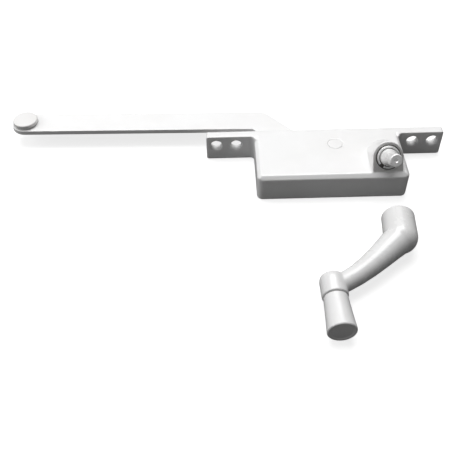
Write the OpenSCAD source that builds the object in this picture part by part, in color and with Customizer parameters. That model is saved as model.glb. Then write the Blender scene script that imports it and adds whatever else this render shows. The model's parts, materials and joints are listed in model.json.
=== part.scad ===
// Left-hand rotary window operator: a cast gear housing with two screw
// flanges, a flat cranked arm with a guide button, a splined worm spindle,
// and its loose crank handle with a turning knob, which lies in front of it.
// Millimetres. Origin: centre of the screw-hole row on the flat back face.
// X runs along the flanges, +Y points out through the wall, +Z is up.

/* [Housing] */
// Width of the gear housing
housing_w = 103; // [98:1:125]
// Distance of the housing's left side from the middle of the flanges
housing_left = 50.6; // [50:0.2:56]
// Depth of the housing, from its back face to its front
housing_d = 50; // [46:1:60]
// Height of the housing and of both flanges
housing_h = 20; // [20:0.5:24]
// Height of the screw holes above the bottom face
hole_up = 12; // [11:0.5:13]
// Thickness of the cast side walls
wall = 3; // [2:0.2:4]
// Thickness of the cast top
top_t = 3; // [2:0.2:3.4]
// Width of the chamfer round the top edge
chamfer = 2.5; // [0.5:0.1:3]
// Radius of the upright front corners
corner_r = 4; // [1:0.5:8]

/* [Flanges] */
// Length over both flanges
flange_l = 170; // [165:1:200]
// Thickness of the flanges
flange_t = 6.2; // [4:0.2:9]
// Distance between the inner pair of screw holes
inner_span = 127; // [122:1:132]
// Distance between the outer pair of screw holes
outer_span = 155.6; // [152:0.2:156]
// Diameter of the screw holes
screw_hole_d = 8.5; // [4:0.1:8.8]

/* [Pivot and arm] */
// Pivot's distance to the right of the middle of the flanges
pivot_x = 5.8; // [4:0.2:8]
// Pivot's distance in front of the back face
pivot_in = 16.1; // [15.5:0.1:18]
// Diameter of the pivot rivet's shank
pivot_d = 8; // [6:0.5:9]
// Depth of the arm's underside below the housing's top
arm_drop = 9.4; // [9.2:0.1:9.8]
// Distance from the pivot to the guide button
arm_len = 228.6; // [150:1:360]
// Width of the arm
arm_w = 20; // [14:0.5:20]
// Thickness of the arm
arm_t = 3.4; // [2:0.1:3.6]
// Distance of the arm's straight bar from the pivot, outwards
bar_offset = 34.8; // [32:0.2:38]
// Angle by which the straight bar leans outwards at rest
bar_lean = 1.15; // [0:0.05:2]
// Diameter of the guide button
button_d = 17.8; // [12:0.2:20]
// Thickness of the guide button's head
button_t = 3; // [2.4:0.1:6]
// Angle through which the arm opens
arm_travel = 92; // [60:1:92]

/* [Spindle and worm] */
// Distance of the spindle to the right of the middle of the flanges
spindle_x = 37.1; // [36:0.1:37.4]
// Angle of the spindle above the horizontal
spindle_tilt = 35; // [33:0.5:36]
// Length of spindle that stands out of the boss
spindle_out = 21.5; // [14:0.5:30]
// Diameter of the spindle's bearing journal
journal_d = 11.5; // [10:0.1:12]
// Diameter over the spline
spline_d = 8.73; // [7:0.01:9.6]
// Radius of the boss round the spindle
boss_r = 10.45; // [9.8:0.05:10.6]
// Teeth of a full gear of the sector's pitch
full_teeth = 36; // [30:1:40]
// Pitch radius of the worm
worm_pitch_r = 6; // [5.8:0.1:6.2]

/* [Crank handle] */
// Depth of the splined socket
socket_depth = 18; // [10:0.5:20]
// Radial clearance between spline and socket
socket_gap = 0.13; // [0.05:0.01:0.3]
// Radius of the hub at its mouth
hub_r = 10.6; // [8.5:0.1:12]
// Greatest radius of the hub, at the bend
bend_r = 10.7; // [9.5:0.1:13]
// Distance from the mouth to the bend
hub_len = 18.9; // [18:0.1:26]
// Sideways distance from the hub to the knob's eye
crank_reach = 43.7; // [38:0.1:60]
// Distance from the mouth to the middle of the eye, along the hub
crank_drop = 59.8; // [54:0.1:70]
// Radius of the eye that carries the knob
eye_r = 8.1; // [7:0.1:9]
// Length of the knob
knob_len = 24; // [22:0.5:40]
// Knob's radius at the eye
knob_r1 = 7.4; // [6.5:0.1:8]
// Knob's radius at its free end
knob_r2 = 8.9; // [7:0.1:11]
// Angle between the knob's axis and the hub's axis
knob_splay = 6.5; // [0:0.5:10]

/* [Hidden] */
$fn = 96;
eps = 0.01;

// Clearances
run_gap = 0.05;      // radial, turning on a pin
face_gap = 0.1;      // between faces that turn past each other
plate_gap = 0.15;    // round the base plate in its rebate
room = 0.2;          // round the upper bush's flange and beside the worm washer
thread_room = 0.6;   // round the worm's thread
bush_sink = 0.4;     // from a bush's end to the face round it

// Levels
z_bot = -hole_up;
z_top = housing_h - hole_up;
z_roof = z_top - top_t;
plate_t = 2;
z_plate = z_bot + plate_t;
arm_z = z_top - arm_drop;
arm_top = arm_z + arm_t;
gear_t = 4;
gear_z = arm_z - gear_t;

// Housing
x_left = -housing_left;
x_right = housing_w - housing_left;
rebate = 1.4;
post_r = 3.6;
post_in = 1;
cover_screw_r = 1.5;
cover_head_r = 3;
cover_screw_len = 8;
cover_screw_short = 0.5;   // the threaded holes are this much deeper
fillet_r = 3;
flange_round = 1.5;
slot_left = x_left + wall;
slot_right = pivot_x + 24;
slot_z0 = gear_z - 1;
slot_z1 = arm_top + 1;

// Pivot stack
pivot_r = pivot_d / 2;
head_r = pivot_r + 1.1;
head_t = 1.5;
tenon_r = pivot_r - 1;
tenon_flare = 1.4;
washer_t = 1.3;
washer_r = pivot_r + 4;
hub_boss_r = pivot_r + 5;
bush_wall = 2;
bush_r = pivot_r + run_gap + bush_wall;
lower_washer_t = 1;

// Arm outline, about the pivot
rivet_r = 2;
rivet_pitch_r = bush_r + 5.15;
lobe_r = rivet_pitch_r + 4.2;
shoulder_x = -52.2;
neck_x = -27.1;
neck_y = 7.8;
joint_r = arm_w / 2 + 0.02;    // the bends' circles cross the limbs' sides cleanly
bar_dir = 180 - bar_lean;
rest_bearing = bar_dir - asin(bar_offset / arm_len);
shoulder_y = bar_offset / cos(bar_lean) - shoulder_x * tan(bar_lean);
rivet_angles = [5, 47, 90];
stud_r = 2.5;
stud_head_r = 3.6;
stud_head_t = 1;
stud_foot_r = 4.4;
stud_foot_t = 1.2;
button_gap = 0.9;    // between the arm and the underside of the button's rim
button_neck_r = 5;
z_button = arm_top + button_gap;

// Spindle, worm and sector
boss_rise = boss_r;
face_z = z_top + boss_rise * cos(spindle_tilt);
// The axis passes this far above the middle of the sector's teeth, square to it
gear_fall = 1.778;
mesh_z = gear_z + gear_t / 2 - face_z;
mesh_y = (-gear_fall - cos(spindle_tilt) * mesh_z) / sin(spindle_tilt);
mesh_s = cos(spindle_tilt) * mesh_y - sin(spindle_tilt) * mesh_z;
face_y = -pivot_in - mesh_y;
tube_len = 17.5;
journal_r = journal_d / 2;
bush_out_r = journal_r + 1.65;
flange_bush_r = journal_r + 3.05;
worm_washer_r = journal_r + 2.65;
boss_washer_r = journal_r + 2.65;
flange_bush_t = 1.5;
boss_washer_t = 0.5;
worm_washer_t = 1.2;
worm_start = tube_len + flange_bush_t + room + worm_washer_t;
worm_end = mesh_s + 3.14;
tail_r = 2.5;
tail_wall = 1.1;
tail_len = 3.6;
tail_boss_r = 4.7;
centre_gap = spindle_x - pivot_x;
gear_pitch_r = centre_gap - worm_pitch_r;
ratio_k = gear_pitch_r / (worm_pitch_r * full_teeth);
lead_tan = ratio_k * cos(spindle_tilt) / (1 - ratio_k * sin(spindle_tilt));
lead_angle = atan(lead_tan);
helix = spindle_tilt - lead_angle;
worm_lead = 2 * PI * worm_pitch_r * lead_tan;
worm_out_r = worm_pitch_r + 0.9;
worm_root_r = worm_pitch_r - 1.3;
gear_out_r = gear_pitch_r + 0.9;
gear_root_r = gear_pitch_r - 1.2;
tooth_step = 360 / full_teeth;
first_tooth = -1;
last_tooth = ceil(arm_travel / tooth_step) + 1;
// At rest the thread's crest stands in the sector's gap at the mesh point
gear_twist = -gear_t * tan(helix) / gear_pitch_r * 180 / PI;
worm_phase = atan2(-gear_fall, -worm_pitch_r) + 360 * (worm_end - mesh_s) / worm_lead;
spline_teeth = 24;
journal_out = 5;
taper_len = 3.5;
spline_len = spindle_out - journal_out - taper_len;
spline_groove = 0.35;
spline_tip = 0.7;
taper_end_r = spline_d / 2 - 0.2;
core_r = worm_root_r - 0.5;
ring_groove = 0.6;
clip_r = journal_r + 1.95;
clip_t = 1;
clip_at = 0.25 + boss_washer_t;    // above the boss face
clip_groove_t = clip_t + face_gap;

// Crank handle
handle_yaw = -5;
mouth = [39, -78.9];
hub_z = z_bot + bend_r;
knob_z = z_bot + knob_r2;
knob_fall = knob_z - hub_z;
socket_r = spline_d / 2 + socket_gap;
eye_len = 15;
knob_washer_t = 0.6;
knob_pin_r = 2.5;
knob_pin_in = 19;
set_screw_r = 2;
set_screw_len = 5;
set_screw_in = 8;
set_screw_sink = 0.3;
mouth_edge = 1;
bend_start = 4;
limb_r1 = bend_r - 0.6;
limb_r2 = 6.1;
limb_bow = 3.9;
eye_round = 4;
knob_head_r = 4;
knob_head_t = 1.6;
knob_collar_r = knob_pin_r + 0.9;
knob_collar_t = 1.5;
knob_collar_in = knob_pin_in - 2 * knob_collar_t;
knob_base = eye_len / 2 + knob_washer_t + face_gap;

// Stands its children on the spindle's axis, s below the boss face, facing out
module on_spindle(s = 0) {
    translate([spindle_x, face_y, face_z]) rotate([90 - spindle_tilt, 0, 0])
        translate([0, 0, -s]) children();
}

// Places its children about the arm's pivot
module at_pivot(z = 0) {
    translate([pivot_x, -pivot_in, z]) children();
}

// Places its children in the handle's own frame, with the mouth at the origin
module on_handle() {
    translate([mouth[0], mouth[1], hub_z]) rotate([0, 0, handle_yaw]) children();
}

// Stands its children on the knob's axis, with +Z from the eye to the knob's end
module on_knob(along = 0) {
    on_handle() translate([-crank_reach, -crank_drop, knob_fall])
        rotate([90, 0, knob_splay]) translate([0, 0, along]) children();
}

module ring(outer, inner, height) {
    difference() {
        cylinder(r = outer, h = height);
        translate([0, 0, -1]) cylinder(r = inner, h = height + 2);
    }
}

// Rectangle between two corners, with its two front corners rounded
module front_rounded(x0, x1, y0, y1, r) {
    difference() {
        translate([x0, y0]) square([x1 - x0, y1 - y0]);
        translate([x0, y0]) corner_cut(r);
        translate([x1, y0]) mirror([1, 0]) corner_cut(r);
    }
}

// What a rounded corner loses, from its square corner at the origin
module corner_cut(r) {
    difference() {
        translate([-1, -1]) square([r + 1, r + 1]);
        translate([r, r]) circle(r = r);
    }
}

// ---- Housing and what is fixed in it ----

module housing_block() {
    intersection() {
        translate([0, 0, z_bot]) linear_extrude(housing_h)
            front_rounded(x_left, x_right, -housing_d, 0, corner_r);
        translate([x_left - 1, 0, 0]) rotate([90, 0, 90]) linear_extrude(housing_w + 2)
            polygon([[-housing_d, z_bot], [0, z_bot], [0, z_top],
                     [-housing_d + chamfer, z_top], [-housing_d, z_top - chamfer]]);
        rotate([90, 0, 0]) linear_extrude(housing_d + 1)
            polygon([[x_left, z_bot], [x_right, z_bot], [x_right, z_top - chamfer],
                     [x_right - chamfer, z_top], [x_left + chamfer, z_top],
                     [x_left, z_top - chamfer]]);
    }
}

module flange_plate() {
    rotate([90, 0, 0]) linear_extrude(flange_t)
        rounded_plate(flange_l / 2, z_bot, z_top, flange_round);
}

// Plate outline with four rounded corners, from circles and two rectangles
module rounded_plate(half, z0, z1, r) {
    translate([-half + r, z0]) square([2 * (half - r), z1 - z0]);
    translate([-half, z0 + r]) square([2 * half, z1 - z0 - 2 * r]);
    for (x = [-half + r, half - r], z = [z0 + r, z1 - r]) translate([x, z]) circle(r = r);
}

// Concave fillet between a flange and the side of the housing
module side_fillet(x, way) {
    translate([x, -flange_t, z_bot]) linear_extrude(housing_h)
        difference() {
            translate([way > 0 ? -1 : -fillet_r, -fillet_r]) square([fillet_r + 1, fillet_r + 1]);
            translate([way * fillet_r, -fillet_r]) circle(r = fillet_r);
        }
}

function post_places() = [
    for (x = [x_left + wall + post_r - post_in, x_right - wall - post_r + post_in],
         y = [-housing_d + wall + post_r - post_in, -wall - post_r + post_in]) [x, y]];

module cavity() {
    translate([0, 0, z_bot - 1]) linear_extrude(z_roof - z_bot + 1)
        front_rounded(x_left + wall, x_right - wall, -housing_d + wall, -wall,
                      max(corner_r - wall, 0.5));
}

// The boss stands above the top; its straight sides run down to the chamfer
module boss_outside() {
    depth = (face_z - z_roof) / sin(spindle_tilt);
    intersection() {
        on_spindle(depth) union() {
            cylinder(r = boss_r, h = depth);
            translate([-boss_r, -boss_rise, 0]) cube([2 * boss_r, boss_rise, depth]);
        }
        translate([x_left, -housing_d, z_roof]) cube([housing_w, housing_d, 3 * housing_h]);
    }
}

module boss_inside() {
    intersection() {
        union() {
            on_spindle(tube_len) cylinder(r = boss_r, h = tube_len);
            on_spindle(worm_end + 3 * tail_boss_r)
                cylinder(r = tail_boss_r, h = 3 * tail_boss_r - thread_room);
        }
        translate([x_left, -housing_d + eps, z_plate])
            cube([housing_w, housing_d - eps, z_top - z_plate - eps]);
    }
}

module housing() {
    color("white") difference() {
        union() {
            difference() {
                union() {
                    housing_block();
                    flange_plate();
                    side_fillet(x_left, -1);
                    side_fillet(x_right, 1);
                    boss_outside();
                }
                cavity();
            }
            boss_inside();
            translate([0, 0, z_plate]) for (p = post_places())
                translate([p[0], p[1], 0]) cylinder(r = post_r, h = z_top - chamfer - z_plate);
            at_pivot(arm_top + face_gap + washer_t)
                cylinder(r = hub_boss_r, h = z_roof - arm_top - face_gap - washer_t + eps);
        }
        // Screw holes through the flanges
        for (span = [inner_span, outer_span], side = [-1, 1])
            translate([side * span / 2, 1, 0]) rotate([90, 0, 0])
                cylinder(d = screw_hole_d, h = flange_t + 2);
        // Slot for the arm and the sector through the back
        translate([slot_left, -wall - eps, slot_z0])
            cube([slot_right - slot_left, wall + 1, slot_z1 - slot_z0]);
        // Rebate for the base plate
        translate([0, 0, z_bot - 1]) linear_extrude(plate_t + 1)
            base_outline(rebate);
        // Bore of the upper bush, room for its flange and the worm, and the tail bush's bore
        on_spindle(tube_len + 1) cylinder(r = bush_out_r, h = tube_len + 2);
        on_spindle(worm_start + room)
            cylinder(r = flange_bush_r + room, h = worm_start + room - tube_len);
        on_spindle(worm_end + thread_room - room)
            cylinder(r = worm_out_r + thread_room, h = worm_end - worm_start + thread_room);
        on_spindle(worm_end + tail_len + 1) cylinder(r = tail_r + tail_wall, h = tail_len + 2);
        // Seat and hole of the pivot rivet
        at_pivot(z_top - head_t) cylinder(r = head_r, h = head_t + 1);
        at_pivot(0) cylinder(r = pivot_r, h = z_top);
        // Threads of the base screws
        translate([0, 0, z_plate - 1]) for (p = post_places())
            translate([p[0], p[1], 0]) cylinder(r = cover_screw_r, h = cover_screw_len + 1);
    }
}

// Outline of the base plate or its rebate, grown past the cavity
module base_outline(grow) {
    front_rounded(x_left + wall - grow, x_right - wall + grow,
                  -housing_d + wall - grow, -wall + grow, corner_r - 1);
}

module base_plate() {
    color("silver") difference() {
        translate([0, 0, z_bot]) linear_extrude(plate_t) base_outline(rebate - plate_gap);
        at_pivot(z_bot - 1) cylinder(r = tenon_r, h = plate_t + 2);
        at_pivot(z_bot - 1) cylinder(r1 = tenon_r + tenon_flare + 1, r2 = tenon_r, h = tenon_flare + 1);
        for (p = post_places()) translate([p[0], p[1], z_bot]) {
            translate([0, 0, -1]) cylinder(r = cover_screw_r, h = plate_t + 2);
            translate([0, 0, -1]) cylinder(r1 = cover_head_r + 1, r2 = cover_screw_r,
                                           h = cover_head_r - cover_screw_r + 1);
        }
    }
}

module base_screws() {
    slot_w = 0.7;
    slot_l = 3.3;
    slot_depth = 0.9;
    color("gainsboro") for (p = post_places()) translate([p[0], p[1], z_bot])
        difference() {
            union() {
                cylinder(r1 = cover_head_r, r2 = cover_screw_r, h = cover_head_r - cover_screw_r);
                cylinder(r = cover_screw_r, h = plate_t + cover_screw_len - cover_screw_short);
            }
            for (turn = [0, 90]) rotate([0, 0, turn])
                translate([-slot_l / 2, -slot_w / 2, -1]) cube([slot_l, slot_w, slot_depth + 1]);
        }
}

module pivot_rivet() {
    color("white") at_pivot() {
        translate([0, 0, z_top - head_t]) cylinder(r = head_r, h = head_t);
        translate([0, 0, z_plate]) cylinder(r = pivot_r, h = z_top - head_t - z_plate);
        translate([0, 0, z_bot]) cylinder(r = tenon_r, h = plate_t);
        translate([0, 0, z_bot]) cylinder(r1 = tenon_r + tenon_flare, r2 = tenon_r, h = tenon_flare);
    }
}

module upper_thrust_washer() {
    color("ivory") at_pivot(arm_top + face_gap) ring(washer_r, pivot_r, washer_t);
}

module lower_thrust_washer() {
    color("ivory") at_pivot(gear_z - face_gap - lower_washer_t)
        ring(washer_r, pivot_r, lower_washer_t);
}

module lower_spacer() {
    spacer_t = gear_z - face_gap - lower_washer_t - z_plate;
    color("silver") at_pivot(z_plate) ring(washer_r - 1, pivot_r, spacer_t);
}

module spindle_bush() {
    color("goldenrod") {
        on_spindle(tube_len + flange_bush_t)
            ring(bush_out_r, journal_r + run_gap, tube_len + flange_bush_t - bush_sink);
        on_spindle(tube_len + flange_bush_t) ring(flange_bush_r, journal_r + run_gap, flange_bush_t);
    }
}

module tail_bush() {
    color("goldenrod") on_spindle(worm_end + tail_len + bush_sink)
        ring(tail_r + tail_wall, tail_r + run_gap, tail_len - bush_sink);
}

module boss_washer() {
    color("silver") on_spindle(0) ring(boss_washer_r, journal_r + run_gap, boss_washer_t);
}

// ---- Arm ----

// A straight limb of the arm's width between two points
module limb(a, b) {
    d = b - a;
    translate(a) rotate(atan2(d[1], d[0]))
        translate([0, -arm_w / 2]) square([norm(d), arm_w]);
}

module arm_outline() {
    button_at = arm_len * [cos(rest_bearing), sin(rest_bearing)];
    shoulder = [shoulder_x, shoulder_y];
    neck = [neck_x, neck_y];
    circle(r = lobe_r);
    limb([0, 0], neck);
    limb(neck, shoulder);
    limb(shoulder, button_at);
    for (p = [neck, shoulder, button_at]) translate(p) circle(r = joint_r);
}

module arm() {
    color("white") at_pivot(arm_z) difference() {
        linear_extrude(arm_t) arm_outline();
        translate([0, 0, -1]) cylinder(r = bush_r, h = arm_t + 2);
        for (a = rivet_angles) rotate(a) translate([rivet_pitch_r, 0, -1])
            cylinder(r = rivet_r, h = arm_t + 2);
        translate([arm_len * cos(rest_bearing), arm_len * sin(rest_bearing), -1])
            cylinder(r = stud_r, h = arm_t + 2);
    }
}

// One gap of the sector, cut on the helix through the full thickness
module tooth_gap() {
    step = tooth_step;
    root = 0.17;
    mouth_part = 0.36;
    reach = gear_out_r + 0.6;
    polygon([gear_root_r * [cos(root * step), -sin(root * step)],
             reach * [cos(mouth_part * step), -sin(mouth_part * step)],
             reach * [cos(mouth_part * step), sin(mouth_part * step)],
             gear_root_r * [cos(root * step), sin(root * step)]]);
}

// Fan from the pivot that holds the teeth
module sector_fan() {
    a0 = (first_tooth - 0.5) * tooth_step;
    a1 = (last_tooth + 0.5) * tooth_step;
    reach = 2 * gear_out_r;
    intersection() {
        circle(r = gear_out_r);
        polygon([[0, 0], reach * [cos(a0), sin(a0)],
                 reach * [cos((a0 + a1) / 2), sin((a0 + a1) / 2)],
                 reach * [cos(a1), sin(a1)]]);
    }
}

module sector_gear() {
    color("dimgray") at_pivot(gear_z) difference() {
        union() {
            linear_extrude(gear_t) sector_fan();
            cylinder(r = lobe_r - 1, h = gear_t);
        }
        translate([0, 0, -eps]) for (i = [first_tooth - 1 : last_tooth + 1])
            rotate(i * tooth_step + gear_twist / 2)
                linear_extrude(gear_t + 2 * eps, twist = gear_twist, slices = 3, $fn = 8) tooth_gap();
        translate([0, 0, -1]) cylinder(r = bush_r, h = gear_t + 2);
        for (a = rivet_angles) rotate(a) translate([rivet_pitch_r, 0, -1])
            cylinder(r = rivet_r, h = gear_t + 2);
    }
}

module gear_rivets() {
    color("silver") at_pivot() for (a = rivet_angles) rotate(a)
        translate([rivet_pitch_r, 0, gear_z]) cylinder(r = rivet_r, h = gear_t + arm_t);
}

module arm_bush() {
    color("goldenrod") at_pivot(gear_z) ring(bush_r, pivot_r + run_gap, gear_t + arm_t);
}

module at_button(z = 0) {
    at_pivot(z) translate([arm_len * cos(rest_bearing), arm_len * sin(rest_bearing), 0])
        children();
}

module button_stud() {
    color("silver") at_button() {
        translate([0, 0, arm_z - stud_foot_t]) cylinder(r = stud_foot_r, h = stud_foot_t);
        translate([0, 0, arm_z - eps]) cylinder(r = stud_r, h = z_button + button_t / 2 - arm_z);
        translate([0, 0, z_button + button_t / 2 - stud_head_t])
            cylinder(r = stud_head_r, h = stud_head_t);
    }
}

module guide_button() {
    crown = 0.5;
    edge = 0.8;
    button_r = button_d / 2;
    color("white") at_button() difference() {
        rotate_extrude() polygon([[0, arm_top + face_gap], [button_neck_r, arm_top + face_gap],
            [button_neck_r, z_button], [button_r - edge / 2, z_button],
            [button_r, z_button + edge / 2], [button_r, z_button + button_t - edge],
            [button_r - edge, z_button + button_t - edge / 3],
            [button_r / 2, z_button + button_t + crown * 0.7], [0, z_button + button_t + crown]]);
        translate([0, 0, arm_top]) cylinder(r = stud_r + run_gap, h = button_gap + button_t / 2);
        translate([0, 0, z_button + button_t / 2 - stud_head_t - face_gap])
            cylinder(r = stud_head_r + run_gap, h = stud_head_t + 2 * face_gap);
    }
}

// ---- Spindle ----

// Cross-section of a single-start thread: one lobe round the shaft
module thread_section() {
    steps = 30;
    crest = 30;
    foot = 96;
    function height(a) = a < crest ? 1 : a > foot ? 0 : (foot - a) / (foot - crest);
    polygon([for (i = [0 : steps - 1]) let (a = i * 360 / steps, off = min(a, 360 - a),
             r = worm_root_r + (worm_out_r - worm_root_r) * height(off)) r * [cos(a), sin(a)]]);
}

module spline_bar() {
    groove_w = 0.26;
    difference() {
        cylinder(d = spline_d, h = spline_len);
        for (i = [0 : spline_teeth - 1]) rotate(i * 360 / spline_teeth)
            translate([spline_d / 2 - spline_groove, -groove_w / 2, -1])
                cube([1, groove_w, spline_len + 2]);
    }
}

module worm_shaft() {
    thread_len = worm_end - worm_start;
    centre_r = 1.3;
    centre_depth = 1.2;
    color("silver") difference() {
        union() {
            on_spindle(worm_end + tail_len) cylinder(r = tail_r, h = tail_len + 1);
            on_spindle(worm_end) linear_extrude(thread_len, slices = 72, $fn = 30,
                twist = 360 * thread_len / worm_lead) rotate(worm_phase) thread_section();
            on_spindle(worm_start + 1) cylinder(r = core_r, h = 2);
            on_spindle(worm_start) cylinder(r = journal_r, h = worm_start + journal_out);
            on_spindle(-journal_out) cylinder(r1 = journal_r, r2 = taper_end_r, h = taper_len);
            on_spindle(-(spindle_out - spline_len - spline_tip)) spline_bar();
            on_spindle(-(spindle_out - spline_tip))
                cylinder(r1 = taper_end_r, r2 = spline_d / 2 - spline_tip, h = spline_tip);
        }
        on_spindle(-clip_at + face_gap / 2) ring(journal_r + 1, journal_r - ring_groove, clip_groove_t);
        // Centre-drilled end
        on_spindle(-spindle_out + centre_depth)
            cylinder(r1 = run_gap, r2 = centre_r, h = centre_depth + eps);
    }
}

module worm_washer() {
    color("silver") on_spindle(worm_start) ring(worm_washer_r, journal_r, worm_washer_t);
}

// Open ring that snaps into the shaft's groove, with two notches for its tool
module retaining_ring() {
    opening = 3.2;
    notch_w = 1.8;
    notch_depth = 0.8;
    color("lightgray") on_spindle(-clip_at) difference() {
        ring(clip_r, journal_r - ring_groove, clip_t);
        rotate(-130) translate([0, -opening / 2, -1]) cube([clip_r + 1, opening, clip_t + 2]);
        for (a = [50, 155]) rotate(a)
            translate([clip_r - notch_depth, -notch_w / 2, -1])
                cube([notch_depth + 1, notch_w, clip_t + 2]);
    }
}

// ---- Crank handle ----

// Limb of the handle as balls along a gentle curve: [x, y, z, radius]
function crank_ball(t) = let (ease = t * t * (3 - 2 * t), part = 0.87 * t + 0.13 * ease) [
    -crank_reach * t,
    -hub_len - (crank_drop - hub_len) * part - limb_bow * sin(180 * t),
    knob_fall * t,
    limb_r1 - (limb_r1 - limb_r2) * (2 * t - t * t)];

module ball(b) {
    translate([b[0], b[1], b[2]]) sphere(r = b[3], $fn = 32);
}

module crank_arm() {
    pieces = 6;
    color("whitesmoke") difference() {
        union() {
            on_handle() rotate([90, 0, 0]) rotate_extrude()
                intersection() {
                    union() {
                        polygon([[0, 0], [hub_r - mouth_edge, 0], [hub_r, mouth_edge],
                                 [bend_r, hub_len - bend_start], [bend_r, hub_len],
                                 [0, hub_len]]);
                        translate([0, hub_len]) circle(r = bend_r);
                    }
                    square([2 * bend_r, hub_len + 2 * bend_r]);
                }
            on_handle() for (i = [0 : pieces - 1]) hull() {
                ball(crank_ball(i / pieces));
                ball(crank_ball((i + 1) / pieces));
            }
            on_knob(-eye_len / 2) rotate_extrude() intersection() {
                union() {
                    translate([0, eye_round]) square([eye_r, eye_len - eye_round]);
                    translate([0, eye_round]) circle(r = eye_r);
                }
                square([eye_r, eye_len]);
            }
        }
        // Splined socket
        on_handle() translate([0, 1, 0]) rotate([90, 0, 0])
            cylinder(r = socket_r, h = socket_depth + 1);
        on_handle() translate([0, eps, 0]) rotate([90, 0, 0])
            cylinder(r1 = socket_r + mouth_edge, r2 = socket_r, h = mouth_edge);
        // Threaded hole of the set screw, on the lower side
        on_handle() translate([0, -set_screw_in, -bend_r - 1])
            cylinder(r = set_screw_r, h = bend_r + 1);
        // Hole and seat of the knob's stud
        on_knob(-eye_len) cylinder(r = knob_pin_r, h = 2 * eye_len);
        on_knob(-eye_len) cylinder(r = knob_head_r, h = eye_len / 2 + knob_head_t);
    }
}

module set_screw() {
    hex_r = 1.1;
    hex_depth = 1.6;
    color("dimgray") on_handle() translate([0, -set_screw_in, -socket_r - set_screw_len])
        difference() {
            cylinder(r = set_screw_r, h = set_screw_len - set_screw_sink);
            translate([0, 0, -1]) cylinder(r = hex_r, h = hex_depth + 1, $fn = 6);
        }
}

module knob_stud() {
    color("silver") {
        on_knob(-eye_len / 2) cylinder(r = knob_head_r, h = knob_head_t);
        on_knob(-eye_len / 2) cylinder(r = knob_pin_r, h = knob_base + knob_pin_in + eye_len / 2);
        on_knob(knob_base + knob_collar_in) cylinder(r = knob_collar_r, h = knob_collar_t);
    }
}

module knob_washer() {
    color("silver") on_knob(eye_len / 2) ring(knob_r1 - 0.7, knob_pin_r, knob_washer_t);
}

// Slightly waisted knob with a shallow dish in its free end
module crank_knob() {
    foot_edge = 0.4;
    rim_edge = 0.8;
    rim_w = 1.6;
    dish = 0.7;
    mid_r = knob_r1 + (knob_r2 - knob_r1) * 0.42;
    color("whitesmoke") on_knob(knob_base) difference() {
        rotate_extrude() polygon([[0, 0], [knob_r1 - foot_edge, 0], [knob_r1, foot_edge],
            [mid_r, knob_len / 2], [knob_r2, knob_len - rim_edge],
            [knob_r2 - rim_edge * 0.3, knob_len - rim_edge * 0.3],
            [knob_r2 - rim_edge, knob_len], [knob_r2 - rim_w, knob_len - dish / 2],
            [0, knob_len - dish]]);
        translate([0, 0, -1]) cylinder(r = knob_pin_r + run_gap, h = knob_pin_in + 1.2);
        translate([0, 0, knob_collar_in - face_gap])
            cylinder(r = knob_collar_r + run_gap, h = knob_collar_t + 2 * face_gap);
    }
}

housing();
base_plate();
base_screws();
pivot_rivet();
upper_thrust_washer();
lower_thrust_washer();
lower_spacer();
spindle_bush();
tail_bush();
boss_washer();
arm();
sector_gear();
gear_rivets();
arm_bush();
button_stud();
guide_button();
worm_shaft();
worm_washer();
retaining_ring();
crank_arm();
set_screw();
knob_stud();
knob_washer();
crank_knob();
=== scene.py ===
# %% [markdown]
# # A casement window operator and its loose crank handle
# The object is a left-hand rotary operator: a white enamelled gear housing with
# two screw flanges, a flat cranked arm that ends in a round guide button, and a
# steel spindle that slopes up out of a boss. The crank handle lies in front of
# it, ready to be pushed onto the spindle. The CAD model fixes every size and
# place, and this notebook gives it the surfaces that the eye sees. It starts by
# loading the model, and works in metres in the model's own directions: X along
# the flanges, Y towards the wall, Z up.

# %% Load the frame
import json
import math

import bmesh
import bpy
from mathutils import Matrix, Vector


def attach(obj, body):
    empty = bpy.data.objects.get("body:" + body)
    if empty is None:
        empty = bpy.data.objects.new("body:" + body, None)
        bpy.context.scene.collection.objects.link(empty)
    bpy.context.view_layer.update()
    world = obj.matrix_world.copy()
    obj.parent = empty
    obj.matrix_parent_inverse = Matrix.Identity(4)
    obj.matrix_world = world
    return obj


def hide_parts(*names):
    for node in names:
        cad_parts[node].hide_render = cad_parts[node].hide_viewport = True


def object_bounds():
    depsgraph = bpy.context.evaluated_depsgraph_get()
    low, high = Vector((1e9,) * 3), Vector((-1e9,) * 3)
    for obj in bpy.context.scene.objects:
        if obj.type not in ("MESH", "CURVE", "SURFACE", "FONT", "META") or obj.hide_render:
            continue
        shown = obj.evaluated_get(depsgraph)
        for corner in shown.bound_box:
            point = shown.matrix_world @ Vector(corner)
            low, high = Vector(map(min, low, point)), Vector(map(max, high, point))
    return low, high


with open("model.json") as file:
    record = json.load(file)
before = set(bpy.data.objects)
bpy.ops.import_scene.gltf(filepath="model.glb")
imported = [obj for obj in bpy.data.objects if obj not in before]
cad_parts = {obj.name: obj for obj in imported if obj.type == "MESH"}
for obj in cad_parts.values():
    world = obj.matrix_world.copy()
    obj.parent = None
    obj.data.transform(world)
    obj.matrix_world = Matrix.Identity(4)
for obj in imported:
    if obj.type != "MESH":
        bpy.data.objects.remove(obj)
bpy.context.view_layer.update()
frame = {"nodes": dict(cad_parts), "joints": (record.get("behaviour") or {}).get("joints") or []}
MM = 0.001
NODES = frame["nodes"]
JOINTS = {j["name"]: j for j in frame["joints"]}
for plain in list(bpy.data.materials):
    bpy.data.materials.remove(plain)    # the model's flat colours make room for real finishes

# %% [markdown]
# ## Where the turning axes are
# Round pieces are turned shapes, so each needs an axis: a place on it and its
# direction. The joints already say both, and reading them there keeps a knob or
# spindle exactly on the line that it turns about.

# %% Axes from the joints
def axis_frame(place, direction):
    """Matrix that stands a piece made along +Z on an axis."""
    turn = Vector((0, 0, 1)).rotation_difference(Vector(direction).normalized())
    return Matrix.Translation(Vector(place)) @ turn.to_matrix().to_4x4()


def joint_frame(name):
    return axis_frame(JOINTS[name]["pos_m"], JOINTS[name]["axis"])


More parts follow.
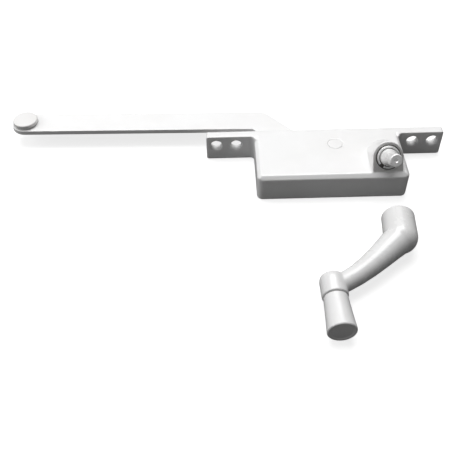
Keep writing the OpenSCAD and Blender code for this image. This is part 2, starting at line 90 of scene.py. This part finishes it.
SPINDLE = joint_frame("spindle_turn")
KNOB = joint_frame("knob_spin")
BUTTON = joint_frame("button_spin")
PIVOT = Vector(JOINTS["arm_swing"]["pos_m"])
print("spindle starts at", [round(v, 4) for v in SPINDLE.translation])

# %% [markdown]
# ## Camera
# A normal lens looks down on the parts from in front at about 47 degrees, from
# half a metre away. That is steep enough to show the plan of the arm, and still
# shows the housing's front face. The camera comes first, because everything
# after it is judged through it.

# %% Camera
CAMERA_AT = Vector((-75.87, -385.09, 320.74)) * MM
YAW, PITCH, ROLL = (math.radians(a) for a in (0.48, 46.85, -1.09))
LENS, SENSOR = 54.74, 36
camera_data = bpy.data.cameras.new("camera")
camera_data.lens, camera_data.sensor_width = LENS, SENSOR
camera = bpy.data.objects.new("camera", camera_data)
bpy.context.scene.collection.objects.link(camera)
look = Matrix.Rotation(-YAW, 4, "Z") @ Matrix.Rotation(math.pi / 2 - PITCH, 4, "X")
camera.matrix_world = Matrix.Translation(CAMERA_AT) @ look @ Matrix.Rotation(ROLL, 4, "Z")
bpy.context.scene.camera = camera
print("camera", [round(v, 3) for v in camera.location], "lens", camera_data.lens)

# %% [markdown]
# ## Wiring shaders in Python
# A procedural material is arithmetic on patterns. Node graphs are hard to read
# as code, so one small class wraps an output socket and turns `a * b + 0.2`
# into Math nodes. Every other node comes from `node`, which sets the node's
# options first and then fills its sockets with numbers or with wires.

# %% Shader helpers
class Wire:
    """An output socket that takes part in arithmetic."""

    def __init__(self, socket):
        self.socket = socket
        self.tree = socket.id_data

    def maths(self, operation, *values):
        return node(self.tree, "ShaderNodeMath", {"operation": operation},
                    dict(enumerate([self, *values])))

    def __add__(self, other):
        return self.maths("ADD", other)

    def __mul__(self, other):
        return self.maths("MULTIPLY", other)

    def __sub__(self, other):
        return self.maths("SUBTRACT", other)

    def __rsub__(self, other):
        return node(self.tree, "ShaderNodeMath", {"operation": "SUBTRACT"}, {0: other, 1: self})

    __radd__ = __add__
    __rmul__ = __mul__

    def clamp(self, low, high):
        return self.maths("MAXIMUM", low).maths("MINIMUM", high)

    def ramp(self, low, high):
        """0 where this is at most low, 1 where it is at least high."""
        return node(self.tree, "ShaderNodeMapRange", {"interpolation_type": "SMOOTHSTEP"},
                    {"Value": self, "From Min": low, "From Max": high})


def node(tree, kind, settings=None, inputs=None, output=0):
    made = tree.nodes.new(kind)
    for name, value in (settings or {}).items():
        setattr(made, name, value)
    for name, value in (inputs or {}).items():
        if isinstance(value, Wire):
            tree.links.new(value.socket, made.inputs[name])
        else:
            made.inputs[name].default_value = value
    return Wire(made.outputs[output])


def mix(tree, factor, a, b):
    """Mixes two colours, each a wire or four numbers."""
    made = tree.nodes.new("ShaderNodeMix")
    made.data_type = "RGBA"
    slots = {"Factor": factor, "A": a, "B": b}
    for socket in made.inputs:
        if socket.enabled and socket.name in slots:
            value = slots[socket.name]
            if isinstance(value, Wire):
                tree.links.new(value.socket, socket)
            else:
                socket.default_value = value
    return Wire(next(s for s in made.outputs if s.enabled))


print("shader helpers ready")

# %% [markdown]
# ## What every finish starts from
# A `Finish` is a material while it is being made: its shader, its coordinates
# and the patterns that can be laid on it. Values that are the same all over, such
# as the metal share of plain paint, are set on the shader's own sockets. A colour
# or a roughness that varies is a wire, which `feed` joins to its socket.

# %% Material starter
class Finish:
    """A material being made: its tree, its shader and its object coordinates."""

    def __init__(self, name, **constants):
        self.material = bpy.data.materials.new(name)
        self.material.use_nodes = True
        self.tree = self.material.node_tree
        self.shader = self.tree.nodes["Principled BSDF"]
        for socket, value in constants.items():
            self.shader.inputs[socket.replace("_", " ")].default_value = value
        self.place = node(self.tree, "ShaderNodeTexCoord", output=3)

    def node(self, kind, settings=None, inputs=None, output=0):
        return node(self.tree, kind, settings, inputs, output)

    def mapped(self, matrix, stretch):
        """Object coordinates in an axis frame, stretched."""
        back = matrix.inverted()
        place = self.node("ShaderNodeMapping", {"vector_type": "POINT"},
                          {"Vector": self.place, "Location": back.translation,
                           "Rotation": back.to_euler("XYZ")})
        return self.node("ShaderNodeMapping", {"vector_type": "POINT"},
                         {"Vector": place, "Scale": stretch})

    def noise(self, size, detail=2.0, rough=0.5, vector=None):
        """Cloudy values about 0.5, with blotches of about the given size."""
        return self.node("ShaderNodeTexNoise", {"noise_dimensions": "3D"},
                         {"Vector": vector or self.place, "Scale": 1 / size,
                          "Detail": detail, "Roughness": rough})

    def feed(self, socket, wire):
        self.tree.links.new(wire.socket, self.shader.inputs[socket])

    def relief(self, *layers):
        """Stacks (height wire, depth) layers of bump into the normal."""
        normal = None
        for height, depth in layers:
            inputs = {"Height": height, "Distance": depth, "Strength": 1.0}
            if normal is not None:
                inputs["Normal"] = normal
            normal = self.node("ShaderNodeBump", None, inputs)
        self.feed("Normal", normal)


def grey(level, warmth=0.0):
    """A near-neutral colour. Warmth lifts red and lowers blue."""
    return (level * (1 + warmth), level, level * (1 - warmth), 1.0)


print("material starter ready")

# %% [markdown]
# ## White enamel
# The housing, arm and handle are metal parts under baked white enamel. Baked
# enamel flows before it sets, so it has the faint dimples of orange peel about
# a millimetre apart over slower waves of the casting, and it pulls back from
# sharp edges, which therefore look a little greyer. A few handling marks change
# the gloss but hardly the colour. One recipe makes all five enamels, because they
# differ only in how smooth the metal below is.

# %% White enamel
# Sizes of the blotches in the enamel, in metres
CLOUDS, FILM, HANDLED, CAST_WAVES, ORANGE_PEEL, DUST = 0.035, 0.006, 0.012, 0.009, 0.0012, 0.0003
THIN_EDGE = (0.53, 0.6)    # pointiness where enamel starts and ends drawing back


def enamel(name, white=0.86, waves=0.00006, peel=0.000012, gloss=0.28):
    f = Finish(name, IOR=1.5, Coat_Roughness=0.12)
    cloud = f.noise(CLOUDS, 3).ramp(0.35, 0.7)
    film = (f.noise(FILM, 3, 0.6).ramp(0.62, 0.8) * 0.25).clamp(0, 1)
    edge = f.node("ShaderNodeNewGeometry", output="Pointiness").ramp(*THIN_EDGE)
    tone = mix(f.tree, cloud, grey(white), grey(white * 0.965, 0.004))
    tone = mix(f.tree, film, tone, grey(white * 0.9, 0.01))
    f.feed("Base Color", mix(f.tree, edge * 0.35, tone, grey(white * 0.9, 0.004)))
    rubbed = f.noise(HANDLED, 4, 0.65).ramp(0.45, 0.75)
    f.feed("Roughness", (gloss + rubbed * 0.14 + edge * 0.1).clamp(0.05, 1))
    f.feed("Coat Weight", (0.35 - rubbed * 0.2).clamp(0, 1))
    f.relief((f.noise(CAST_WAVES, 1), waves), (f.noise(ORANGE_PEEL, 1), peel),
             (f.noise(DUST, 1), peel * 0.25))
    return f.material


CASTING_WHITE = enamel("white_enamel")
ARM_WHITE = enamel("white_arm", white=0.87, waves=0.00003, peel=0.000008)
HANDLE_WHITE = enamel("white_handle", white=0.79, waves=0.00008, peel=0.00001, gloss=0.25)
KNOB_WHITE = enamel("white_knob", white=0.81, waves=0.00005, peel=0.00001, gloss=0.33)
RIVET_WHITE = enamel("enamelled_rivet", white=0.85, waves=0.00002, gloss=0.3)
ENAMELS = (CASTING_WHITE, ARM_WHITE, HANDLE_WHITE, KNOB_WHITE, RIVET_WHITE)
print("enamels:", [m.name for m in ENAMELS])

# %% [markdown]
# ## Moulded plastics
# The guide button is a moulding of acetal, a slippery white plastic. A moulding
# tool is spark-eroded, which leaves a fine even pebble, so plastic is matter than
# the enamel, slightly creamier, and shows scuffs where it rubs. The bearing
# washers inside are unpigmented nylon, waxy and a little see-through.

# %% Moulded plastics
# Sizes of the blotches in a moulding, in metres
MOULD_CLOUDS, SCUFFS, PEBBLE, SINKS = 0.02, 0.004, 0.0004, 0.008


def moulded(name, tone, pebble=0.00001, gloss=0.38, soft=0.06, warmth=0.006):
    f = Finish(name, IOR=1.49, Subsurface_Weight=soft, Subsurface_Scale=0.001,
               Subsurface_Radius=(1.0, 0.9, 0.8))
    cloud = f.noise(MOULD_CLOUDS, 3)
    scuff = f.noise(SCUFFS, 5, 0.7).ramp(0.58, 0.74)
    worn = (cloud.ramp(0.3, 0.7) * 0.5 + scuff * 0.3).clamp(0, 1)
    f.feed("Base Color", mix(f.tree, worn, grey(tone, warmth), grey(tone * 0.94, warmth + 0.01)))
    f.feed("Roughness", (gloss + scuff * 0.18 + (cloud - 0.5) * 0.08).clamp(0.05, 1))
    f.relief((f.noise(PEBBLE, 2), pebble), (f.noise(SINKS, 1), pebble * 3))
    return f.material


BUTTON_PLASTIC = moulded("white_button", 0.78, gloss=0.32)
NYLON = moulded("nylon", 0.72, gloss=0.42, soft=0.3, warmth=0.03)
print("plastics:", [m.name for m in (BUTTON_PLASTIC, NYLON)])

# %% [markdown]
# ## Turned and plated metals
# A lathe leaves fine rings round the axis, which stretch each highlight across
# the bar. The pattern is a noise whose coordinates are turned to the piece's
# axis and squeezed along it, so that it changes quickly along the bar and not
# round it. Sheet parts get a finer, directionless grain instead. Grease and
# handling darken the metal in soft patches. The spindle and its ring wear a pale
# matt plating, which scatters light as paint does, so they are only partly metal.

# %% Metals
# Sizes of the marks on metal, in metres, and how far lathe lines are squeezed
SHEET_GRAIN, LATHE_LINES, STAINS, DENTS = 0.0006, 0.004, 0.007, 0.003
LATHE_STRETCH = (0.05, 0.05, 12)


def metal(name, level, warmth=0.0, rough=0.28, axis=None, grain=0.000006, stain=0.3,
          bare=1.0):
    f = Finish(name, Metallic=bare)
    if axis is None:
        lines = f.noise(SHEET_GRAIN, 4, 0.6)
    else:
        lines = f.noise(LATHE_LINES, 3, 0.7, f.mapped(axis, LATHE_STRETCH))
    dull = (f.noise(STAINS, 3, 0.6).ramp(0.45, 0.75) * stain).clamp(0, 1)
    f.feed("Base Color", mix(f.tree, dull, grey(level, warmth), grey(level * 0.6, warmth + 0.03)))
    f.feed("Roughness", (rough + (lines - 0.5) * 0.22 + dull * 0.25).clamp(0.08, 0.9))
    f.relief((lines, grain), (f.noise(DENTS, 2), grain * 2))
    return f.material


SPINDLE_STEEL = metal("spindle_steel", 0.93, 0.005, 0.5, SPINDLE, grain=0.000003, stain=0.12,
                      bare=0.55)
BRIGHT_STEEL = metal("bright_steel", 0.94, 0.0, 0.4, SPINDLE, grain=0.000002, stain=0.08,
                     bare=0.6)
ZINC_STEEL = metal("zinc_steel", 0.55, 0.01, 0.42, stain=0.3)
DARK_STEEL = metal("dark_steel", 0.16, 0.03, 0.42, stain=0.4)
BRONZE = metal("bronze", 0.42, 0.28, 0.36, SPINDLE, stain=0.4)
METALS = (SPINDLE_STEEL, BRIGHT_STEEL, ZINC_STEEL, DARK_STEEL, BRONZE)
print("metals:", [m.name for m in METALS])

# %% [markdown]
# ## Which finish each part wears
# Parts that stay as they come from CAD still get their finish here, and the
# pieces that are made below read the same table.

# %% Finish of each part
WEARS = {
    "housing": CASTING_WHITE, "arm": ARM_WHITE, "pivot_rivet": RIVET_WHITE,
    "crank_arm": HANDLE_WHITE, "crank_knob": KNOB_WHITE, "guide_button": BUTTON_PLASTIC,
    "upper_thrust_washer": NYLON, "lower_thrust_washer": NYLON,
    "worm_shaft": SPINDLE_STEEL, "retaining_ring": BRIGHT_STEEL, "boss_washer": DARK_STEEL,
    "sector_gear": DARK_STEEL, "set_screw": DARK_STEEL,
    "spindle_bush": BRONZE, "tail_bush": BRONZE, "arm_bush": BRONZE,
}
for name, obj in NODES.items():
    obj.data.materials.clear()
    obj.data.materials.append(WEARS.get(name, ZINC_STEEL))
print("finished nodes:", len(NODES))

# %% [markdown]
# ## Softened edges
# No cast or pressed part has a knife edge, and enamel rounds it further. The
# line of light on a rounded edge is what tells the eye how big and how heavy
# the part is. `eased` takes a copy of a CAD part, merges the corners that its
# loose triangles share, and bevels every edge that is sharp, so the piece keeps
# the CAD shape and only loses its knife edges.

# %% A copy of a CAD part with softened edges
def new_piece(name, bm, material, body, *nodes, smooth=35):
    """Makes a finished piece of a bmesh, and says what it rides on and replaces."""
    for face in bm.faces:
        face.smooth = True
    mesh = bpy.data.meshes.new(name)
    bm.to_mesh(mesh)
    bm.free()
    mesh.set_sharp_from_angle(angle=math.radians(smooth))
    mesh.materials.append(material)
    piece = bpy.data.objects.new(name, mesh)
    bpy.context.scene.collection.objects.link(piece)
    even = piece.modifiers.new("even shading", "WEIGHTED_NORMAL")
    even.weight, even.keep_sharp = 100, True
    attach(piece, body)
    if nodes:
        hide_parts(*nodes)
    print(name, len(mesh.polygons), "faces")
    return piece


def merged_copy(node_name):
    bm = bmesh.new()
    bm.from_mesh(NODES[node_name].data)
    bmesh.ops.remove_doubles(bm, verts=bm.verts, dist=0.001 * MM)
    return bm


SHARP = math.radians(28)    # edges that turn more than this are bevelled


def eased(node_name, name, body, width, segments):
    bm = merged_copy(node_name)
    edges = [e for e in bm.edges if len(e.link_faces) == 2 and e.calc_face_angle() > SHARP]
    bmesh.ops.bevel(bm, geom=edges, offset=width * MM, offset_type="OFFSET",
                    segments=segments, profile=0.5, affect="EDGES", clamp_overlap=False,
                    material=-1, loop_slide=False)
    return new_piece(name, bm, WEARS.get(node_name, ZINC_STEEL), body, node_name)


ARM_EDGE = 0.3
eased("arm", "arm_strip", "arm", ARM_EDGE, segments=3)

# %% [markdown]
# ## The gear casting
# The housing is a die casting. Where its boss rises out of the top, and inside
# every corner, the metal flows in a small fillet, and every outer edge is round
# under the enamel. A bevel can't follow a boss that meets a chamfer at a slant,
# so the casting is made as a skin over fine voxels of the CAD shape, and then
# relaxed a little: edges round off and inner corners fill, as in the mould.

# %% Skin over voxels
def cast_skin(node_name, name, body, voxel, rounds):
    bm = merged_copy(node_name)
    mesh = bpy.data.meshes.new(name + "_core")
    bm.to_mesh(mesh)
    bm.free()
    core = bpy.data.objects.new(name + "_core", mesh)
    bpy.context.scene.collection.objects.link(core)
    skin = core.modifiers.new("skin", "REMESH")
    skin.mode, skin.voxel_size = "VOXEL", voxel * MM
    relax = core.modifiers.new("relax", "SMOOTH")
    relax.factor, relax.iterations = 0.5, rounds
    bm = bmesh.new()
    bm.from_object(core, bpy.context.evaluated_depsgraph_get())
    bpy.data.objects.remove(core)
    return new_piece(name, bm, WEARS[node_name], body, node_name, smooth=80)


HOUSING_VOXEL, HANDLE_VOXEL = 0.6, 0.5
cast_skin("housing", "gear_casting", "housing", HOUSING_VOXEL, rounds=5)
cast_skin("crank_arm", "handle_casting", "crank_handle", HANDLE_VOXEL, rounds=12)

# %% [markdown]
# ## Turned pieces
# The knob, the guide button and the spindle are round about an axis, so half of
# their section is enough. `turned` draws that line, rounds its corners while it
# is still a line, where rounding is exact and cheap, and spins it once round.
# Points are (radius, height along the axis) in millimetres.

# %% A turned piece
ROUND_STEPS = 96


def turned(bm, profile, ease, closed=False):
    verts = [bm.verts.new((radius * MM, 0, height * MM)) for radius, height in profile]
    ends = verts[1:] + ([verts[0]] if closed else [])
    for pair in zip(verts, ends):
        bm.edges.new(pair)
    corners = verts if closed else verts[1:-1]
    bmesh.ops.bevel(bm, geom=corners, offset=ease * MM, offset_type="OFFSET", segments=3,
                    profile=0.5, affect="VERTICES", clamp_overlap=True, material=-1)
    bmesh.ops.spin(bm, geom=bm.verts[:] + bm.edges[:], cent=(0, 0, 0), axis=(0, 0, 1),
                   dvec=(0, 0, 0), angle=math.tau, steps=ROUND_STEPS, use_merge=True,
                   use_duplicate=False)
    bmesh.ops.remove_doubles(bm, verts=bm.verts, dist=0.001 * MM)
    bmesh.ops.recalc_face_normals(bm, faces=bm.faces)
    return bm


def turned_piece(node_name, name, body, place, profile, ease, closed=False):
    bm = turned(bmesh.new(), profile, ease, closed)
    bmesh.ops.transform(bm, matrix=place, verts=bm.verts)
    return new_piece(name, bm, WEARS.get(node_name, ZINC_STEEL), body, node_name)


# %% [markdown]
# ## The knob
# The turning knob is a small casting that widens towards its free end, so the
# fingers don't slide off. Its end is dished behind a narrow rim, and the foot
# stands a hair off the handle's eye: the dark line between them is what shows
# that it turns.

# %% Knob
KNOB_FOOT, KNOB_LEN = 8.2, 24.0
KNOB_END = KNOB_FOOT + KNOB_LEN
PIN_HOLE_R, PIN_HOLE_END = 2.6, KNOB_FOOT + 20.3
KNOB_FLARE = [(7.4, KNOB_FOOT), (7.65, KNOB_FOOT + 5), (8.1, KNOB_FOOT + 13),
              (8.5, KNOB_FOOT + 18.5), (8.88, KNOB_END - 0.7)]
KNOB_DISH = [(8.3, KNOB_END), (7.3, KNOB_END - 0.1), (6.6, KNOB_END - 0.65), (0, KNOB_END - 0.75)]
turned_piece("crank_knob", "knob_casting", "crank_knob", KNOB,
             [(PIN_HOLE_R, KNOB_FOOT)] + KNOB_FLARE + KNOB_DISH
             + [(0, PIN_HOLE_END), (PIN_HOLE_R, PIN_HOLE_END)], ease=0.25, closed=True)

# %% [markdown]
# ## The guide button
# The button at the arm's end slides in a track on the sash. It is a headed
# nylon moulding: a neck on the arm, then a wide rim with a low crown that keeps
# it from catching in the track. The shadow under the rim is part of its look.

# %% Guide button
BUTTON_FOOT = -2.1    # the joint's place is 2.1 mm above the arm's top face
STUD_HOLE_R, STUD_TOP, NECK_R = 2.6, 0.3, 5.0
RIM_R, RIM_LOW, RIM_HIGH, CROWN = 8.88, -0.9, 1.0, 2.15
turned_piece("guide_button", "button_moulding", "guide_button", BUTTON,
             [(STUD_HOLE_R, BUTTON_FOOT), (NECK_R, BUTTON_FOOT), (NECK_R, RIM_LOW - 0.35),
              (RIM_R - 0.38, RIM_LOW - 0.35), (RIM_R, RIM_LOW), (RIM_R, RIM_HIGH),
              (RIM_R - 0.48, RIM_HIGH + 0.5), (NECK_R, CROWN - 0.2), (0, CROWN),
              (0, STUD_TOP), (STUD_HOLE_R, STUD_TOP)], ease=0.25, closed=True)

# %% [markdown]
# ## The spindle
# One steel bar is turned to a bearing journal and a taper, and the handle's end
# is rolled with fine splines. The centre mark in its end face is where the
# lathe held it. The worm inside is cut from the same bar: that part is taken
# from the CAD shape, because it has to mesh with the arm's gear, and the rest is
# turned afresh. The splines are a ring of points with every fourth one pushed
# in, drawn out along the axis.

# %% Spindle
WORM_FACE = -19.5      # the bar is parted here, inside the housing
JOURNAL_R, SPLINE_R, SPLINE_DEPTH = 5.75, 4.365, 0.22
SPLINE_FROM, TIP = 8.5, 21.5
GROOVE_R, GROOVE_LOW, GROOVE_HIGH, JOURNAL_END = 5.15, 0.7, 1.8, 4.7
turned_bar = turned(bmesh.new(),
                    [(0, WORM_FACE), (JOURNAL_R, WORM_FACE), (JOURNAL_R, GROOVE_LOW),
                     (GROOVE_R, GROOVE_LOW), (GROOVE_R, GROOVE_HIGH), (JOURNAL_R, GROOVE_HIGH),
                     (JOURNAL_R, JOURNAL_END), (JOURNAL_R - 0.2, JOURNAL_END + 0.3),
                     (SPLINE_R - 0.15, SPLINE_FROM), (0, SPLINE_FROM)], ease=0.08)

RING_OF_POINTS_R = (SPLINE_R - 0.03) * MM
ring = bmesh.ops.create_circle(turned_bar, cap_ends=False, segments=ROUND_STEPS,
                               radius=RING_OF_POINTS_R)["verts"]
bmesh.ops.translate(turned_bar, vec=(0, 0, (SPLINE_FROM - 0.5) * MM), verts=ring)
for v in ring[::4]:
    v.co.xy *= 1 - SPLINE_DEPTH / SPLINE_R
loop = list({e for v in ring for e in v.link_edges})
bmesh.ops.contextual_create(turned_bar, geom=loop)
# Each step is how far below the tip it ends, and the share of the radius that is
# left there: the splines, their chamfer, the end face and the centre mark.
SPLINES_END, STEPS = 0.75, ((0.25, 0.93), (0, 0.84), (0, 0.3), (0.5, 0.19), (1.1, 0.02))
for below, share in ((SPLINES_END, None), *STEPS):
    grown = bmesh.ops.extrude_edge_only(turned_bar, edges=loop)["geom"]
    loop = [g for g in grown if isinstance(g, bmesh.types.BMEdge)]
    for v in (g for g in grown if isinstance(g, bmesh.types.BMVert)):
        if share is not None:
            v.co.xy = v.co.xy.normalized() * RING_OF_POINTS_R * share
        v.co.z = (TIP - below) * MM
bmesh.ops.contextual_create(turned_bar, geom=loop)
bmesh.ops.recalc_face_normals(turned_bar, faces=turned_bar.faces)
bmesh.ops.transform(turned_bar, matrix=SPINDLE, verts=turned_bar.verts)
new_piece("spline_shaft", turned_bar, SPINDLE_STEEL, "spindle", "worm_shaft", smooth=32)

worm = merged_copy("worm_shaft")
bar_axis = SPINDLE.to_3x3() @ Vector((0, 0, 1))
PARTED_AT = SPINDLE @ Vector((0, 0, (WORM_FACE + 0.3) * MM))    # 0.3 mm inside the bar
bmesh.ops.bisect_plane(worm, geom=worm.verts[:] + worm.edges[:] + worm.faces[:],
                       dist=0.0001 * MM, plane_co=PARTED_AT, plane_no=bar_axis,
                       clear_outer=True)
bmesh.ops.holes_fill(worm, edges=[e for e in worm.edges if e.is_boundary])
new_piece("worm_thread", worm, SPINDLE_STEEL, "spindle", smooth=30)

# %% [markdown]
# ## The face of the boss
# After casting, the boss is faced square to the spindle, so its flat end is bare
# zinc inside a line of enamel. The facing is a thin plate with the boss's own
# outline, an arch on straight sides: half a ring of points stays round, and the
# other half is pushed out to the straight sides and foot.

# %% Boss face
FACE_R, FACE_FOOT, FACE_HOLE = 9.9, 9.7, 7.42
FACE_PROUD, FACE_THICK = 0.05, 0.4
plate = bmesh.new()
arch = bmesh.ops.create_circle(plate, cap_ends=False, segments=ROUND_STEPS,
                               radius=FACE_R * MM)["verts"]
for v in arch:
    if v.co.y < 0:
        side, foot = abs(v.co.x) / (FACE_R * MM), -v.co.y / (FACE_FOOT * MM)
        v.co.xy /= max(side, foot)
bmesh.ops.create_circle(plate, cap_ends=False, segments=ROUND_STEPS, radius=FACE_HOLE * MM)
bmesh.ops.bridge_loops(plate, edges=plate.edges[:])
bmesh.ops.translate(plate, vec=(0, 0, (FACE_PROUD - FACE_THICK) * MM), verts=plate.verts)
bmesh.ops.solidify(plate, geom=plate.faces[:], thickness=FACE_THICK * MM)
bmesh.ops.recalc_face_normals(plate, faces=plate.faces)
bmesh.ops.transform(plate, matrix=SPINDLE, verts=plate.verts)
MACHINED = metal("machined_zinc", 0.86, 0.01, 0.5, SPINDLE, grain=0.000008, stain=0.35)
new_piece("boss_facing", plate, MACHINED, "housing")

# %% [markdown]
# ## The snap ring
# An open spring ring sits in the spindle's groove and keeps it from sliding in.
# It is drawn wire with a round back, and a round back always finds the light,
# so the ring reads as a bright hoop with a dark gap inside it. The hoop is a
# small closed section spun nearly all the way round, and each end is capped.

# %% Snap ring
RING_R, RING_HALF_W, RING_HALF_T, RING_AT = 7.0, 0.68, 0.49, 1.25
RING_FROM, RING_TURN = math.radians(-118), math.radians(336)
wire_ring = bmesh.new()
section = bmesh.ops.create_circle(wire_ring, cap_ends=True, segments=16, radius=1.0)["verts"]
for v in section:
    x, y = v.co.x, v.co.y
    v.co = ((RING_R + x * RING_HALF_W) * MM, 0, (RING_AT + y * RING_HALF_T) * MM)
bmesh.ops.rotate(wire_ring, cent=(0, 0, 0), matrix=Matrix.Rotation(RING_FROM, 3, "Z"),
                 verts=section)
bmesh.ops.spin(wire_ring, geom=wire_ring.verts[:] + wire_ring.edges[:] + wire_ring.faces[:],
               cent=(0, 0, 0), axis=(0, 0, 1), dvec=(0, 0, 0), angle=RING_TURN, steps=90,
               use_merge=False, use_duplicate=False)
bmesh.ops.holes_fill(wire_ring, edges=[e for e in wire_ring.edges if e.is_boundary])
bmesh.ops.recalc_face_normals(wire_ring, faces=wire_ring.faces)
bmesh.ops.transform(wire_ring, matrix=SPINDLE, verts=wire_ring.verts)
print("ring: open edges", sum(len(e.link_faces) != 2 for e in wire_ring.edges))
new_piece("snap_ring", wire_ring, BRIGHT_STEEL, "spindle", "retaining_ring", smooth=50)

# %% [markdown]
# ## Small turned and stamped parts
# The washer on the boss, the base plate and the arm's toothed sector keep their
# CAD shapes, and only lose their knife edges. A tenth or two of a millimetre is
# what tumbling or stamping leaves. The washer is given the dark steel finish, which
# draws the dark line inside the bright ring. The pivot rivet is turned afresh,
# because its head, flush with the housing's top and faintly crowned, is all that shows of it
# there.

# %% Small parts
for node_name, name, body, width in (
        ("boss_washer", "boss_face_washer", "housing", 0.08),
        ("base_plate", "bottom_cover", "housing", 0.15),
        ("sector_gear", "arm_gear", "arm", 0.12)):
    eased(node_name, name, body, width, segments=2)

RIVET_LOW, RIVET_HIGH, HEAD_LOW, SHANK_LOW = -12.0, 8.0, 6.5, -10.0
SHANK_R, HEAD_R, TAIL_R = 4.0, 5.0, 3.0
turned_piece("pivot_rivet", "rivet_head", "housing",
             Matrix.Translation((PIVOT.x, PIVOT.y, 0)),
             [(0, RIVET_LOW), (TAIL_R + 1.35, RIVET_LOW), (TAIL_R, SHANK_LOW - 0.6),
              (TAIL_R, SHANK_LOW), (SHANK_R, SHANK_LOW), (SHANK_R, HEAD_LOW),
              (HEAD_R, HEAD_LOW), (HEAD_R, RIVET_HIGH - 0.25), (HEAD_R - 0.4, RIVET_HIGH - 0.05),
              (HEAD_R / 2, RIVET_HIGH), (0, RIVET_HIGH)], ease=0.1)

# %% [markdown]
# ## Floor
# The parts lie on a pale seamless table. What the camera sees of it is close to
# white, with only a soft trace of shadow, while the light that it throws back
# up is kept low. Without that, so white a table would light the front and under
# faces until the white castings lost their shape.

# %% Floor
FLOOR_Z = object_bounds()[0][2] - 0.2 * MM
FLOOR_HALF = 3.0
TO_LIGHT, TO_EYE, GLOW = 0.1, 0.42, 0.76
bm = bmesh.new()
bmesh.ops.create_grid(bm, x_segments=1, y_segments=1, size=FLOOR_HALF)
bmesh.ops.translate(bm, vec=(0, 0, FLOOR_Z), verts=bm.verts)
floor_mesh = bpy.data.meshes.new("floor")
bm.to_mesh(floor_mesh)
bm.free()
floor = bpy.data.objects.new("floor", floor_mesh)
bpy.context.scene.collection.objects.link(floor)
table = Finish("floor", Roughness=0.9)
seen = table.node("ShaderNodeLightPath", output="Is Camera Ray")
table.feed("Base Color", mix(table.tree, seen, grey(TO_LIGHT), grey(TO_EYE)))
glow = table.node("ShaderNodeEmission", None, {"Color": grey(1.0), "Strength": GLOW})
shown = table.node("ShaderNodeAddShader", None, {0: glow, 1: Wire(table.shader.outputs[0])})
blank = table.node("ShaderNodeMixShader", None, {0: seen, 1: Wire(table.shader.outputs[0]),
                                                 2: shown})
table.tree.links.new(blank.socket, table.tree.nodes["Material Output"].inputs["Surface"])
floor.data.materials.append(table.material)
print("floor at", round(FLOOR_Z, 4))

# %% [markdown]
# ## Light
# One big soft light hangs overhead and a little behind, so tops are nearly
# white and faces that look at the camera fall off to grey. That is the light
# which draws this object: its plan is bright and its edges are dark lines. The
# world adds a dim dome, brighter towards the top for the metal to reflect.

# %% World and lights
OVERHEAD, LEFT, DOME = 13.4, 2.6, 0.19
world = bpy.data.worlds.new("dome")
world.use_nodes = True
bpy.context.scene.world = world
dome = world.node_tree
up = node(dome, "ShaderNodeSeparateXYZ", None,
          {"Vector": node(dome, "ShaderNodeTexCoord", output=0)}, output=2)
strength = up.ramp(0.1, 1.0) * 0.8 * DOME + 0.45 * DOME
backdrop = dome.nodes["Background"]
backdrop.inputs["Color"].default_value = grey(1.0)
dome.links.new(strength.socket, backdrop.inputs["Strength"])


def soft_light(name, place, target, size, power):
    data = bpy.data.lights.new(name, "AREA")
    data.shape = "RECTANGLE"
    data.size, data.size_y = size
    data.energy = power
    obj = bpy.data.objects.new(name, data)
    obj.location = place
    aim = Vector(target) - Vector(place)
    obj.rotation_euler = aim.to_track_quat("-Z", "Y").to_euler()
    bpy.context.scene.collection.objects.link(obj)


soft_light("overhead", (-0.12, 0.35, 1.05), (-0.06, -0.03, 0), (1.1, 0.7), OVERHEAD)
soft_light("left", (-0.85, 0.0, 0.4), (0.0, -0.05, 0), (0.7, 0.5), LEFT)
bpy.context.scene.view_settings.view_transform = "Standard"
print("lights placed")
